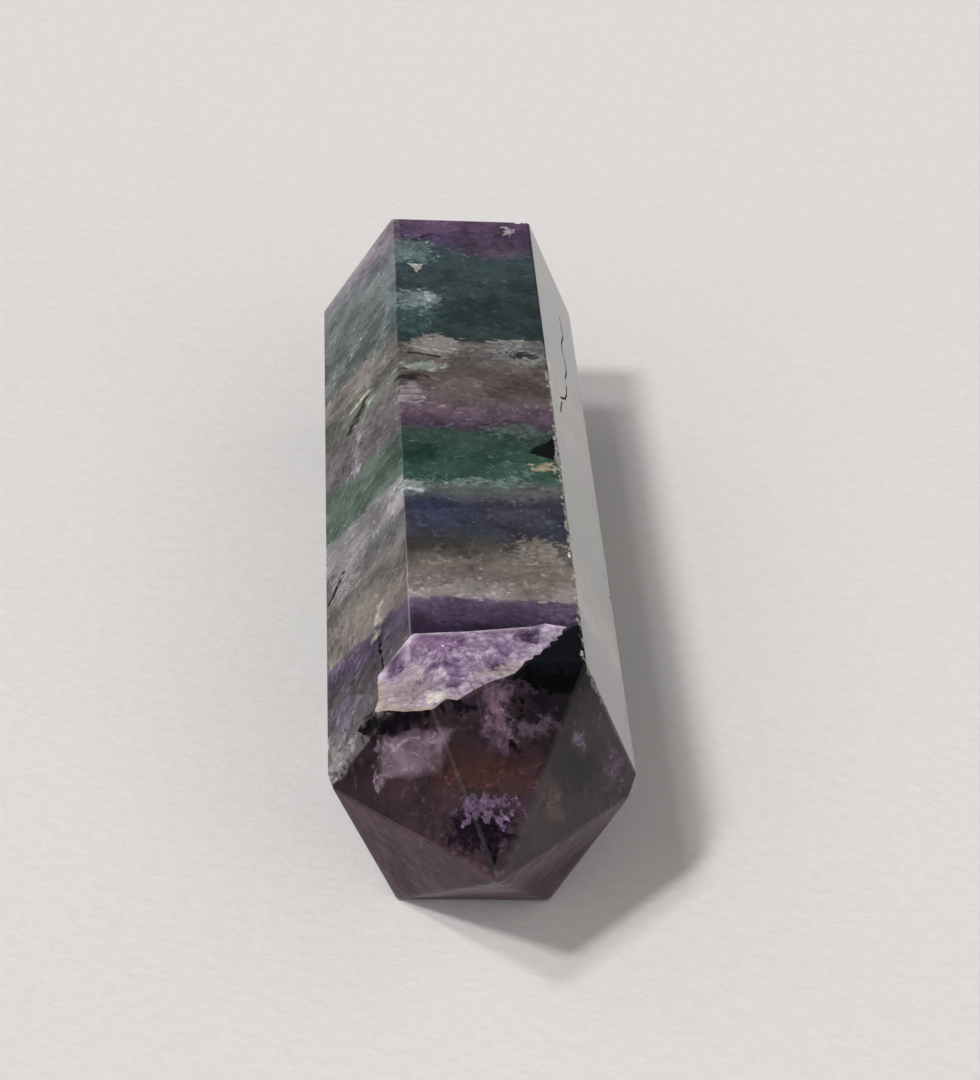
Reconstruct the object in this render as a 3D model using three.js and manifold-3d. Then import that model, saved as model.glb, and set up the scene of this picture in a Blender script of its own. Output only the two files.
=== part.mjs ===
// Rainbow fluorite point: one hand-cut, polished six-sided crystal, 80 mm long, in millimetres, +Z up.
// It lies on one side face, with its long axis along Y. The pointed end looks towards -Y, the sawn base
// towards +Y. It is one natural piece, so it is one solid: the cut prism with its six-sided tip, less
// the cleavage chip on the top shoulder, the small nicks of wear and one hairline crack.
import * as THREE from 'three';
import { ConvexGeometry } from 'three/addons/geometries/ConvexGeometry.js';
import { mergeVertices } from 'three/addons/utils/BufferGeometryUtils.js';
import Module from 'manifold-3d';

const wasm = await Module();
wasm.setup();

// --- Driving dimensions -----------------------------------------------------------------------------

const HEIGHT = 17.05; // across the flats, from the face it lies on to the top face
const PRISM_LENGTH = 69; // shoulder to base
const TIP_LENGTH = 11; // shoulder to point
const LENGTH = PRISM_LENGTH + TIP_LENGTH;
const SHOULDER_Y = -LENGTH / 2 + TIP_LENGTH;
const BASE_Y = LENGTH / 2;
const BASE_SCALE = 0.981; // the base is this much slimmer than the shoulder
const SHOULDER_SKEW = 0.031; // how far off square the shoulder runs, in mm along per mm across
const BASE_SKEW = 0.016; // the same for the sawn base
const EDGE_INSET = 0.13; // how far the polish eats into a face along each edge

// The cross-section at the shoulder, going round from the bottom left: x, z and how far the tip's own
// facet line stands back from the nominal shoulder. A hand-cut hexagon has no two equal sides.
const CORNERS = [
  { x: -4.99, z: 0, back: 0 },
  { x: 4.78, z: 0, back: 0 },
  { x: 9.73, z: 9.16, back: 0.45 },
  { x: 5.96, z: HEIGHT, back: 0.65 },
  { x: -4.72, z: HEIGHT, back: 0.48 },
  { x: -9.73, z: 8.84, back: 0.85 },
];
const POINT = new THREE.Vector3(0.57, SHOULDER_Y - TIP_LENGTH, 8.53);
// The two upper side facets of the tip reach over the side corners, this share down the lower faces.
const REACH = { right: 0.1, left: 0.08 };

// The cleavage chip: it took the top shoulder off from the left side to past the middle.
const CHIP = {
  riser: [[-13, -24.7], [-8.5, -24.55], [-4.7, -25.0], [-1.2, -24.5], [2.9, -23.6], [3.7, -23.2]],
  wallStart: [5.05, -23.55], // where its right wall begins, on the top face
  wallEnd: [1.55, -28.9], // where its right wall meets the tip's top facet
  wallBulge: 0.25, // how far the wall bows out to the right on its way
  wallDepth: 0.55, // how deep the wall lies along the straight line between its ends
  wallSlope: 0.9, // how steeply it climbs across that line
  notchDepth: 0.13, // how far the small notches along its rim cut in and out
  notchCount: 13,
  lip: [[0.9, -29.15], [0.0, -29.45], [-1.1, -30.0], [-2.2, -30.65], [-3.6, -31.5], [-6, -34], [-13, -34]],
  top: 20, // the cutter reaches this high
  cell: 0.31, // spacing of the floor's grid
  ledgeRise: 0.15, // the cleavage ledges across the floor
  ledgeRun: 2.3,
};
// Its floor is two planes, z at a point and the rise per mm along x and along y.
const CHIP_FLOOR = { x: -2.14, y: -30.78, z: 15.59, alongX: 0.03, alongY: 0.124 };
const CHIP_CHEEK = { x: -6.87, y: -28.78, z: 13.42, alongX: 0.598, alongY: 0.0945 };

// The hairline crack down the upper right face, in three strokes. Each bend is given by its y and by how
// far up the face it lies, from the side corner (0) to the top corner (1).
const CRACK = {
  strokes: [
    [[33.3, 0.38], [30.2, 0.35], [27.8, 0.43], [26.1, 0.44], [24.7, 0.4], [23.3, 0.4], [21.0, 0.47]],
    [[19.9, 0.47], [17.9, 0.5], [16.2, 0.56], [14.0, 0.71]],
    [[13.7, 0.69], [10.9, 0.76]],
  ],
  width: 0.2,
  depth: 0.3,
};

// --- Small tools ------------------------------------------------------------------------------------

// A fixed, repeatable stand-in for chance: the same place always gives the same value, -1 to 1.
function chance(i, j, k = 0) {
  const wave = Math.sin(i * 127.1 + j * 311.7 + k * 74.7) * 43758.5453;
  return 2 * (wave - Math.floor(wave)) - 1;
}

// Smooth hills of the given spacing, -1 to 1.
function hills(x, y, spacing, seed) {
  const u = x / spacing;
  const v = y / spacing;
  const i = Math.floor(u);
  const j = Math.floor(v);
  const s = THREE.MathUtils.smoothstep(u - i, 0, 1);
  const t = THREE.MathUtils.smoothstep(v - j, 0, 1);
  const near = THREE.MathUtils.lerp(chance(i, j, seed), chance(i + 1, j, seed), s);
  const far = THREE.MathUtils.lerp(chance(i, j + 1, seed), chance(i + 1, j + 1, seed), s);
  return THREE.MathUtils.lerp(near, far, t);
}

function toManifold(geometry) {
  const bare = geometry.clone();
  bare.deleteAttribute('normal');
  bare.deleteAttribute('uv');
  const merged = mergeVertices(bare, 1e-5);
  const vertProperties = new Float32Array(merged.attributes.position.array);
  const triVerts = new Uint32Array(merged.index.array);
  return new wasm.Manifold(new wasm.Mesh({ numProp: 3, vertProperties, triVerts }));
}

function toGeometry(manifold) {
  const mesh = manifold.getMesh();
  const geometry = new THREE.BufferGeometry();
  geometry.setAttribute('position', new THREE.BufferAttribute(new Float32Array(mesh.vertProperties), 3));
  geometry.setIndex(new THREE.BufferAttribute(new Uint32Array(mesh.triVerts), 1));
  const flat = geometry.toNonIndexed();
  flat.computeVertexNormals();
  return flat;
}

// --- The cut and polished crystal -------------------------------------------------------------------

const prismPoint = (corner, y) => {
  const along = (y - SHOULDER_Y) / PRISM_LENGTH;
  const scale = THREE.MathUtils.lerp(1, BASE_SCALE, along);
  const skew = THREE.MathUtils.lerp(SHOULDER_SKEW, BASE_SKEW, along);
  return new THREE.Vector3(corner.x * scale, y + corner.x * skew, corner.z * scale);
};

// A face's corners, each moved in from both of its edges, so that a narrow polished bevel is left
// between neighbouring faces.
function insetFace(corners) {
  return corners.map((corner, i) => {
    const before = corners[(i + corners.length - 1) % corners.length];
    const after = corners[(i + 1) % corners.length];
    const a = before.clone().sub(corner).normalize();
    const b = after.clone().sub(corner).normalize();
    const sine = Math.sin(a.angleTo(b));
    return corner.clone().addScaledVector(a.add(b), EDGE_INSET / sine);
  });
}

const shoulder = CORNERS.map((corner) => prismPoint(corner, SHOULDER_Y + corner.back));
const base = CORNERS.map((corner) => prismPoint(corner, BASE_Y));
const [bottomLeft, bottomRight, right, topRight, topLeft, left] = shoulder;

// Where the tip facet through a top and a side corner ends, the given share down the lower side face.
function reachPoint(top, side, sideCorner, bottomCorner, share) {
  const facet = new THREE.Plane().setFromCoplanarPoints(top, side, POINT);
  const onFace = (y) => prismPoint(sideCorner, y).lerp(prismPoint(bottomCorner, y), share);
  const line = new THREE.Line3(onFace(POINT.y), onFace(BASE_Y));
  return facet.intersectLine(line, new THREE.Vector3());
}

function polishedCrystal() {
  const rightReach = reachPoint(topRight, right, CORNERS[2], CORNERS[1], REACH.right);
  const leftReach = reachPoint(topLeft, left, CORNERS[5], CORNERS[0], REACH.left);
  const faces = [
    base,
    [bottomLeft, bottomRight, base[1], base[0]],
    [bottomRight, rightReach, right, base[2], base[1]],
    [right, topRight, base[3], base[2]],
    [topRight, topLeft, base[4], base[3]],
    [topLeft, left, base[5], base[4]],
    [left, leftReach, bottomLeft, base[0], base[5]],
    [bottomLeft, bottomRight, POINT],
    [bottomRight, rightReach, POINT],
    [rightReach, right, topRight, POINT],
    [topRight, topLeft, POINT],
    [topLeft, left, leftReach, POINT],
    [leftReach, bottomLeft, POINT],
  ];
  return toManifold(new ConvexGeometry(faces.flatMap(insetFace)));
}

// --- The cleavage chip ------------------------------------------------------------------------------

const planeHeight = (plane, x, y) => plane.z + plane.alongX * (x - plane.x) + plane.alongY * (y - plane.y);

// The broken floor: whichever of the two planes is lower, with hills and small ledges across it.
function chipFloor(x, y) {
  const ground = Math.min(planeHeight(CHIP_FLOOR, x, y), planeHeight(CHIP_CHEEK, x, y));
  const broad = 0.16 * hills(x, y, 2.1, 1);
  const fine = 0.07 * hills(x, y, 0.8, 2);
  const stair = (0.9 * x + 0.45 * y) / CHIP.ledgeRun + 0.45 * hills(x, y, 3.4, 3);
  const rise = THREE.MathUtils.smoothstep(stair - Math.floor(stair), 0.8, 1);
  const ledge = CHIP.ledgeRise * (rise - (stair - Math.floor(stair)));
  return Math.max(ground + broad + fine + ledge, wallHeight(x, y) + fine);
}

// The height of the sloping right wall, which climbs across the line between its two ends.
function wallHeight(x, y) {
  const [startX, startY] = CHIP.wallStart;
  const [endX, endY] = CHIP.wallEnd;
  const run = Math.hypot(endX - startX, endY - startY);
  const inside = ((x - startX) * (endY - startY) - (y - startY) * (endX - startX)) / run;
  return HEIGHT - CHIP.wallDepth - CHIP.wallSlope * inside;
}

// A block over a rectangle, flat on top, whose underside follows the function floor(x, y).
function blockOverFloor(min, max, top, cell, floor) {
  const columns = Math.round((max.x - min.x) / cell);
  const rows = Math.round((max.y - min.y) / cell);
  const positions = [];
  for (const level of ['floor', 'top']) {
    for (let j = 0; j <= rows; j += 1) {
      for (let i = 0; i <= columns; i += 1) {
        const x = min.x + ((max.x - min.x) * i) / columns;
        const y = min.y + ((max.y - min.y) * j) / rows;
        positions.push(x, y, level === 'top' ? top : floor(x, y));
      }
    }
  }
  const layer = (columns + 1) * (rows + 1);
  const at = (i, j, level) => level * layer + j * (columns + 1) + i;
  const index = [];
  const quad = (a, b, c, d) => index.push(a, b, c, a, c, d);
  for (let j = 0; j < rows; j += 1) {
    for (let i = 0; i < columns; i += 1) {
      quad(at(i, j, 1), at(i + 1, j, 1), at(i + 1, j + 1, 1), at(i, j + 1, 1));
      quad(at(i, j, 0), at(i, j + 1, 0), at(i + 1, j + 1, 0), at(i + 1, j, 0));
    }
  }
  for (let i = 0; i < columns; i += 1) {
    quad(at(i, 0, 0), at(i + 1, 0, 0), at(i + 1, 0, 1), at(i, 0, 1));
    quad(at(i, rows, 1), at(i + 1, rows, 1), at(i + 1, rows, 0), at(i, rows, 0));
  }
  for (let j = 0; j < rows; j += 1) {
    quad(at(0, j, 1), at(0, j + 1, 1), at(0, j + 1, 0), at(0, j, 0));
    quad(at(columns, j, 0), at(columns, j + 1, 0), at(columns, j + 1, 1), at(columns, j, 1));
  }
  const geometry = new THREE.BufferGeometry();
  geometry.setAttribute('position', new THREE.BufferAttribute(new Float32Array(positions), 3));
  geometry.setIndex(index);
  return toManifold(geometry);
}

// The chip seen from above: the riser across the top face, then the bowed and finely notched rim down
// the right, then the lip over the tip's top facet.
function chipOutline() {
  const start = CHIP.wallStart;
  const end = CHIP.wallEnd;
  const outline = [...CHIP.riser, start];
  for (let notch = 1; notch < CHIP.notchCount; notch += 1) {
    const share = (notch + 0.35 * chance(notch, 5)) / CHIP.notchCount;
    const cut = CHIP.notchDepth * (0.6 + 0.4 * chance(notch, 7));
    const out = CHIP.wallBulge * Math.sin(Math.PI * share) + (notch % 2 === 0 ? cut : -cut);
    const x = THREE.MathUtils.lerp(start[0], end[0], share) + out;
    const y = THREE.MathUtils.lerp(start[1], end[1], share) - out / 2;
    outline.push([x, y]);
  }
  return [...outline, end, ...CHIP.lip];
}

function cleavageChip() {
  const shape = new THREE.Shape(chipOutline().map(([x, y]) => new THREE.Vector2(x, y)));
  const column = new THREE.ExtrudeGeometry(shape, { depth: CHIP.top + 2, bevelEnabled: false });
  const min = new THREE.Vector2(-12, -33.5);
  const max = new THREE.Vector2(7.5, -22.5);
  const block = blockOverFloor(min, max, CHIP.top, CHIP.cell, chipFloor);
  return block.intersect(toManifold(column));
}

// --- Nicks and the crack ----------------------------------------------------------------------------

// A broken-out nick: a lump of flat facets that bites into an edge. size holds its half-widths.
function nick(place, size, seed) {
  const lump = new THREE.IcosahedronGeometry(1, 1);
  const position = lump.attributes.position;
  const point = new THREE.Vector3();
  for (let i = 0; i < position.count; i += 1) {
    point.fromBufferAttribute(position, i);
    const key = point.toArray().map((value) => Math.round(value * 50));
    point.multiplyScalar(1 + 0.22 * chance(key[0] + 7 * key[2], key[1], seed));
    point.multiply(size).add(place);
    position.setXYZ(i, point.x, point.y, point.z);
  }
  return toManifold(lump);
}

// A row of nicks between two places on an edge, each of its own size, up to the largest given.
function nickRow(from, to, count, largest, seed) {
  const row = [];
  for (let i = 0; i < count; i += 1) {
    const share = (i + 0.5 + 0.35 * chance(i, 11, seed)) / count;
    const place = from.clone().lerp(to, share);
    const radius = largest * (0.62 + 0.38 * chance(i, 13, seed));
    const size = new THREE.Vector3(radius, radius * (1.2 + 0.3 * chance(i, 17, seed)), radius * 1.1);
    row.push(nick(place, size, seed + i));
  }
  return row;
}

function wear() {
  const between = (a, b, share) => a.clone().lerp(b, share);
  const rightEdge = between(right, base[2], 0.33);
  const topRightEdge = between(topRight, base[3], 0.41);
  return [
    ...nickRow(between(topRight, right, 0.06), between(topRight, right, 0.42), 6, 0.42, 21),
    ...nickRow(between(left, topLeft, 0.02), between(left, topLeft, 0.34), 6, 0.6, 33),
    ...nickRow(between(left, base[5], 0.0), between(left, base[5], 0.06), 4, 0.5, 47),
    ...nickRow(between(bottomRight, right, 0.75), between(bottomRight, right, 0.97), 3, 0.28, 59),
    ...nickRow(between(base[3], base[4], 0.02), between(base[3], base[4], 0.1), 2, 0.5, 61),
    ...nickRow(between(base[0], base[5], 0.3), between(base[0], base[5], 0.8), 4, 0.3, 73),
    nick(rightEdge, new THREE.Vector3(0.3, 0.45, 0.4), 83),
    nick(topRightEdge, new THREE.Vector3(0.4, 0.7, 0.35), 89),
    nick(between(topRightEdge, base[3], 0.06), new THREE.Vector3(0.3, 0.5, 0.3), 97),
  ];
}

// One straight run of the crack: a narrow slot between two places on the face, cut along its normal.
function crackRun(from, to, normal) {
  const run = to.clone().sub(from);
  const slot = new THREE.BoxGeometry(CRACK.width, run.length() + CRACK.width / 2, CRACK.depth * 2);
  const across = new THREE.Vector3().crossVectors(run, normal).normalize();
  const out = new THREE.Vector3().crossVectors(across, run).normalize();
  const turn = new THREE.Matrix4().makeBasis(across, run.normalize(), out);
  turn.setPosition(from.clone().add(to).multiplyScalar(0.5));
  return toManifold(slot.applyMatrix4(turn));
}

function hairlineCrack() {
  const normal = new THREE.Plane().setFromCoplanarPoints(right, topRight, base[2]).normal;
  const onFace = ([y, up]) => prismPoint(CORNERS[2], y).lerp(prismPoint(CORNERS[3], y), up);
  return CRACK.strokes.flatMap((stroke) => {
    const bends = stroke.map(onFace);
    return bends.slice(1).map((bend, i) => crackRun(bends[i], bend, normal));
  });
}

// --- The part ---------------------------------------------------------------------------------------

const solid = [cleavageChip(), ...wear(), ...hairlineCrack()].reduce(
  (crystal, cutter) => crystal.subtract(cutter),
  polishedCrystal(),
);

const fluorite = new THREE.MeshStandardMaterial({ color: 0x4d5a63, roughness: 0.12, metalness: 0 });
const crystal = new THREE.Mesh(toGeometry(solid), fluorite);
crystal.name = 'crystal';

const fluoritePoint = new THREE.Group();
fluoritePoint.add(crystal);

export default fluoritePoint;
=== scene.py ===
"""A polished rainbow fluorite point lying on pale paper, one see-through crystal with colour zones."""

import math
import random

import bmesh
import bpy
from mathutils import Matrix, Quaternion, Vector, kdtree, noise


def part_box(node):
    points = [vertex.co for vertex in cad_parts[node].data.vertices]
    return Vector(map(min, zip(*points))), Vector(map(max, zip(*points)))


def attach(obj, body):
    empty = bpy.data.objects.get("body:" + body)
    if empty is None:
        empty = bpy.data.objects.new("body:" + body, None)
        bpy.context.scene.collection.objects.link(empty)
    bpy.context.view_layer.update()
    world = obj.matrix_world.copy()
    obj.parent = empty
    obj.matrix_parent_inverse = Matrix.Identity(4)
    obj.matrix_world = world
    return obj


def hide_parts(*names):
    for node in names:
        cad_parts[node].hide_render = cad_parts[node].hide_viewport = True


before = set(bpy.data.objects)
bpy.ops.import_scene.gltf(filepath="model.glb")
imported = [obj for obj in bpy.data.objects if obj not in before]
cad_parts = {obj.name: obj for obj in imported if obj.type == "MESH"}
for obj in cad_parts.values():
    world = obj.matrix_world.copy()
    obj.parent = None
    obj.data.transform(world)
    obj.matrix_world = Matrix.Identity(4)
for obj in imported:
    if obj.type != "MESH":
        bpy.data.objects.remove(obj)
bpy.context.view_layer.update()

MM = 0.001
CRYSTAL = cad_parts["crystal"]
LOW, HIGH = (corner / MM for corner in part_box("crystal"))
BASE_Y, TIP_Y = HIGH.y, LOW.y
TOP_Z = 16.8  # height of the flat top face in mm

# Camera: where it stands, what it looks at and its roll, for a frame of 980 x 1080.
CAMERA_PLACE = Vector((-16.4, -245.8, 141.85)) * MM
CAMERA_AIM = Vector((1.85, 3.67, 8.5)) * MM
CAMERA_ROLL = math.radians(3.788)
LENS = 135.66

# Light: a main lamp, a weaker one beside it, and the room's soft light.
MAIN_FROM = Vector((-0.475, -0.43, 0.768))
SECOND_FROM = Vector((-0.458, -0.145, 0.877))
MAIN_POWER = 1.3
SECOND_POWER = 0.62
MAIN_WIDTH = 0.12
SECOND_WIDTH = 0.16
ROOM_LIGHT = 1.42
ROOM_COLOUR = (1, 0.985, 0.97, 1)
DIM = 0.05  # share of the room light that its dark sides still give

# Paper.
FLOOR_HALF = 1.5  # metres
FLOOR_DROP = 0.00003  # metres below the crystal
FIBRE_RELIEF = 0.0002  # metres
PAINTED_FALLOFF = (150.0, 420.0)  # mm from the crystal between which the paper is painted grey, a painted falloff of the light

# Fluorite's look.
IOR = 1.434
GLOSS = 0.1  # specular level of the polished skin
CLEARNESS = 0.85  # share of the light that passes the skin
POLISHED = 0.05  # roughness of the skin
BROKEN = 0.45  # roughness of the chip and the flaws
INSIDE_COLOUR = (0.55, 0.5, 0.58, 1)
INSIDE_DENSITY = 420.0  # absorption for each metre
LINING_COLOUR = (0.5, 0.5, 0.5, 1)  # what light keeps as it leaves through the skin
GAIN = 4.6  # lifts the skin's colours, because little light comes back through them
LEFT_SHEEN = 0.03  # what the left face's sheen adds to its colours
ZONE_TILT = 0.5  # mm that the zones lean towards the base for each mm down
STEP_TILT = 0.34  # mm that the fine growth steps rise for each mm along
STEP_RELIEF = 0.18  # mm of uneven relief on them
FINE_BUMP = 0.0001  # metres of grain on the chip and the flaws
WAVES = (6.0, 4.0)  # mm: size and shift of the waves that bend the marks
SHARDS = (0.55, 0.75)  # mm: size and shift of the angular cells that tear them
GRAIN_SIZE = 0.5  # mm

# How the crystal's mesh and its flaws are made. Lengths are in mm.
SKIN = 0.22  # least depth of a flaw
FLATNESS = 0.008  # how near a corner lies to a plane that it is on
PARALLEL = 0.99999  # least cosine between two normals of one plane
LEAST_PLANE_AREA = 0.01  # square mm
SHEET_THICKNESS = 0.08
PIT_DEPTH = 0.26
PIT_SHORE = 0.45  # the chip's pits get shallower this near its edge
PIT_SEED = 5  # fixes the pits, which would change from run to run without it
RIM_WIDTH = 0.8
CHIP_LOW = Vector((-7.4, -32.0, 12.6))
CHIP_HIGH = Vector((5.7, -22.4, 17.2))
NICKS_X = 5.2  # broken faces to the right of this are grey nicks
SMOOTH_ANGLE = math.radians(35)

# Which way the faces look, and where they lie in mm.
UP = (0, 0, 1)
LEFT_FACE = (-0.845, 0.0, 0.534)
LEFT_FACE_OUT = 12.45
TIP_TOP = (0.03, -0.59, 0.81)
TIP_LEFT = (-0.68, -0.62, 0.4)
TIP_RIGHT = (0.73, -0.59, 0.35)
TIP_START = -29.2
LOWER_TIP_Z = 5.1


def new_object(name, data):
    """An object in the scene."""
    item = bpy.data.objects.new(name, data)
    bpy.context.scene.collection.objects.link(item)
    return item


def linear(red, green, blue, gain=1.0):
    """The linear colour of an 8-bit screen colour."""
    tones = [((tone / 255 + 0.055) / 1.055) ** 2.4 * gain for tone in (red, green, blue)]
    return (*tones, 1.0)


class Graph:
    """A node tree, built by calls that take values or other nodes' sockets."""

    def __init__(self, tree):
        self.tree = tree
        tree.nodes.clear()

    def add(self, kind, sockets=None, **settings):
        node = self.tree.nodes.new(kind)
        for key, value in settings.items():
            setattr(node, key, value)
        for key, value in (sockets or {}).items():
            self.feed(node.inputs[key], value)
        return node

    def feed(self, socket, value):
        if isinstance(value, bpy.types.NodeSocket):
            self.tree.links.new(value, socket)
        else:
            socket.default_value = value

    def math(self, operation, first, second=0.0, third=0.0, clamp=False):
        sockets = {0: first, 1: second, 2: third}
        return self.add("ShaderNodeMath", sockets, operation=operation, use_clamp=clamp).outputs[0]

    def vector(self, operation, first, second=(0, 0, 0)):
        node = self.add("ShaderNodeVectorMath", {0: first, 1: second}, operation=operation)
        return node.outputs["Value" if operation in ("LENGTH", "DOT_PRODUCT") else "Vector"]

    def scaled(self, vector, scale):
        node = self.add("ShaderNodeVectorMath", {0: vector, "Scale": scale}, operation="SCALE")
        return node.outputs[0]

    def fade(self, value, start, end, low=0.0, high=1.0):
        """Goes smoothly from low at start to high at end."""
        sockets = {"Value": value, "From Min": start, "From Max": end, "To Min": low, "To Max": high}
        return self.add("ShaderNodeMapRange", sockets, interpolation_type="SMOOTHSTEP").outputs[0]

    def noise(self, place, size, detail, roughness=0.55):
        """Noise from 0 to 1 whose lumps are about size mm across."""
        sockets = {"Vector": place, "Scale": 1 / size, "Detail": detail, "Roughness": roughness}
        return self.add("ShaderNodeTexNoise", sockets)

    def swirl(self, place, size, amount):
        """A shift of up to about half of amount mm each way, in lumps of size mm."""
        noise_colour = self.noise(place, size, detail=2.0, roughness=0.6).outputs["Color"]
        return self.scaled(self.vector("SUBTRACT", noise_colour, (0.5, 0.5, 0.5)), amount)

    def shards(self, place, size, amount):
        """A shift of up to half of amount mm each way, the same all over each angular cell of size mm."""
        cells = self.add("ShaderNodeTexVoronoi", {"Vector": place, "Scale": 1 / size}).outputs["Color"]
        return self.scaled(self.vector("SUBTRACT", cells, (0.5, 0.5, 0.5)), amount)

    def blend(self, factor, first, second, how="MIX"):
        node = self.tree.nodes.new("ShaderNodeMix")
        node.data_type = "RGBA"
        node.blend_type = how
        for index, value in ((0, factor), (6, first), (7, second)):
            self.feed(node.inputs[index], value)
        return node.outputs[2]

    def ramp(self, value, stops):
        """A colour from pairs of a position from 0 to 1 and the colour there."""
        node = self.add("ShaderNodeValToRGB", {"Fac": value})
        ramp = node.color_ramp
        while len(ramp.elements) < len(stops):
            ramp.elements.new(0.5)
        for element, (position, colour) in zip(ramp.elements, stops):
            element.position = position
            element.color = colour
        return node.outputs[0]

    def split(self, vector):
        return self.add("ShaderNodeSeparateXYZ", {0: vector}).outputs

    def join(self, x, y, z):
        return self.add("ShaderNodeCombineXYZ", {0: x, 1: y, 2: z}).outputs[0]

    def bump(self, height, distance, strength):
        sockets = {"Strength": strength, "Distance": distance, "Height": height}
        return self.add("ShaderNodeBump", sockets).outputs[0]

    def principled(self, sockets):
        return self.add("ShaderNodeBsdfPrincipled", sockets).outputs[0]

    def end(self, surface, volume=None):
        """Ends a material's tree in its surface and, if given, its volume."""
        sockets = {"Surface": surface}
        if volume is not None:
            sockets["Volume"] = volume
        self.add("ShaderNodeOutputMaterial", sockets)


class Paint(Graph):
    """A surface's colour, laid on in marks at places in mm.

    bent, torn and crisp are the place, shifted: in wide waves, in angular shards, and in small shards.
    grain is about -1 to 1.
    """

    def __init__(self, name, gain=1.0):
        self.material = bpy.data.materials.new(name)
        self.material.use_nodes = True
        super().__init__(self.material.node_tree)
        self.gain = gain
        self.sheen = 0.0
        coordinates = self.add("ShaderNodeTexCoord").outputs["Object"]
        self.place = self.scaled(coordinates, 1 / MM)
        coarse = self.swirl(self.place, *WAVES)
        swept = self.vector("ADD", self.place, self.scaled(coarse, 0.5))
        fine = self.shards(swept, *SHARDS)
        nearly = self.vector("ADD", self.place, self.scaled(coarse, 0.15))
        self.bent = self.vector("ADD", self.place, coarse)
        self.torn = self.vector("ADD", nearly, fine)
        self.crisp = self.vector("ADD", self.place, self.scaled(fine, 0.3))
        grain = self.noise(self.place, GRAIN_SIZE, detail=3.0, roughness=0.7).outputs[0]
        self.grain = self.math("MULTIPLY_ADD", grain, 5.0, -2.5)
        self.colour = None

    def find_faces(self):
        """Masks that are 1 on the left prism face and on the tip's lower facets."""
        _, y, z = self.split(self.place)
        out = self.vector("DOT_PRODUCT", self.place, LEFT_FACE)
        across = self.fade(out, LEFT_FACE_OUT - 0.15, LEFT_FACE_OUT)
        on_face = self.math("MULTIPLY", across, self.fade(z, TOP_Z - 0.1, TOP_Z - 0.02, 1.0, 0.0))
        self.on_left = self.math("MULTIPLY", on_face, self.fade(y, TIP_START - 0.4, TIP_START))
        level = self.math("MULTIPLY_ADD", y, 0.1, z)
        low = self.fade(level, LOWER_TIP_Z - 0.15, LOWER_TIP_Z, 1.0, 0.0)
        self.below = self.math("MULTIPLY", low, self.fade(y, TIP_START - 0.6, TIP_START, 1.0, 0.0))

    def lay(self, colour, mask):
        """Mixes a colour in, less what the face's own sheen adds to it."""
        tones = [max(tone - self.sheen, 0.001) * self.gain for tone in linear(*colour)[:3]]
        self.colour = self.blend(mask, self.colour, (*tones, 1.0))

    def mark(self, colour, distance, edge, ragged, strength):
        """A mark from a distance that is 0 at its middle and 1 at its rim, which the grain makes ragged."""
        body = self.math("MULTIPLY_ADD", distance, -1 / edge, 1 / edge)
        mask = self.math("MULTIPLY_ADD", self.grain, ragged / edge, body, clamp=True)
        if strength < 1:
            mask = self.math("MULTIPLY", mask, strength)
        self.lay(colour, mask)

    def patch(self, colour, centre, reach, ragged, edge, strength=1.0):
        """A ragged cloud in an ellipsoid."""
        inverse = tuple(1 / size for size in reach)
        offset = tuple(-place / size for place, size in zip(centre, reach))
        sockets = {0: self.torn, 1: inverse, 2: offset}
        scaled = self.add("ShaderNodeVectorMath", sockets, operation="MULTIPLY_ADD").outputs[0]
        self.mark(colour, self.vector("LENGTH", scaled), edge, ragged, strength)

    def streak(self, colour, start, end, width, ragged, edge=0.5, strength=1.0):
        """A ragged band along a straight line."""
        start, run = Vector(start), Vector(end) - Vector(start)
        field = self.torn if width > 0.6 else self.crisp
        along = self.vector("SUBTRACT", field, tuple(start))
        dot = self.vector("DOT_PRODUCT", along, tuple(run))
        share = self.math("MULTIPLY", dot, 1 / run.length_squared, clamp=True)
        nearest = self.scaled(tuple(run), share)
        distance = self.vector("LENGTH", self.vector("SUBTRACT", along, nearest))
        self.mark(colour, self.math("MULTIPLY", distance, 2 / width), edge, ragged, strength)

    def facet(self, colour, corners, facing, reach=1.5, soft=0.06, strength=1.0):
        """A crisp polygon on a face, down to reach mm deep, its corners going round anticlockwise."""
        corners, facing = [Vector(corner) for corner in corners], Vector(facing)
        height = self.vector("DOT_PRODUCT", self.place, tuple(facing))
        depth = self.math("ABSOLUTE", self.math("SUBTRACT", height, corners[0].dot(facing)))
        inside = self.math("SUBTRACT", reach, depth)
        for start, end in zip(corners, corners[1:] + corners[:1]):
            inward = facing.cross(end - start).normalized()
            dot = self.vector("DOT_PRODUCT", self.crisp, tuple(inward))
            inside = self.math("MINIMUM", inside, self.math("SUBTRACT", dot, inward.dot(start)))
        mask = self.math("MULTIPLY", inside, 1 / soft, clamp=True)
        self.lay(colour, self.math("MULTIPLY", mask, strength))

    def shade(self, share):
        """Makes all that is laid lighter or darker."""
        self.colour = self.blend(1.0, self.colour, self.join(share, share, share), "MULTIPLY")

    def mottle(self, size, low, high):
        """Cloudy light and dark over all that is laid, with a fine grain in it."""
        cloud = self.noise(self.torn, size, detail=3.0, roughness=0.7).outputs[0]
        self.shade(self.math("MULTIPLY_ADD", self.grain, 0.16, self.fade(cloud, 0.3, 0.7, low, high)))

    def threads(self, size, width, lift):
        """Thin wandering lines, lighter than what they cross."""
        field = self.noise(self.bent, size, detail=2.0).outputs[0]
        away = self.math("ABSOLUTE", self.math("SUBTRACT", field, 0.5))
        broken = self.fade(self.grain, -0.4, 0.5)
        line = self.math("MULTIPLY", self.fade(away, 0.0, width, 1.0, 0.0), broken)
        self.shade(self.math("MULTIPLY_ADD", line, lift, 1.0))


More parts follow.
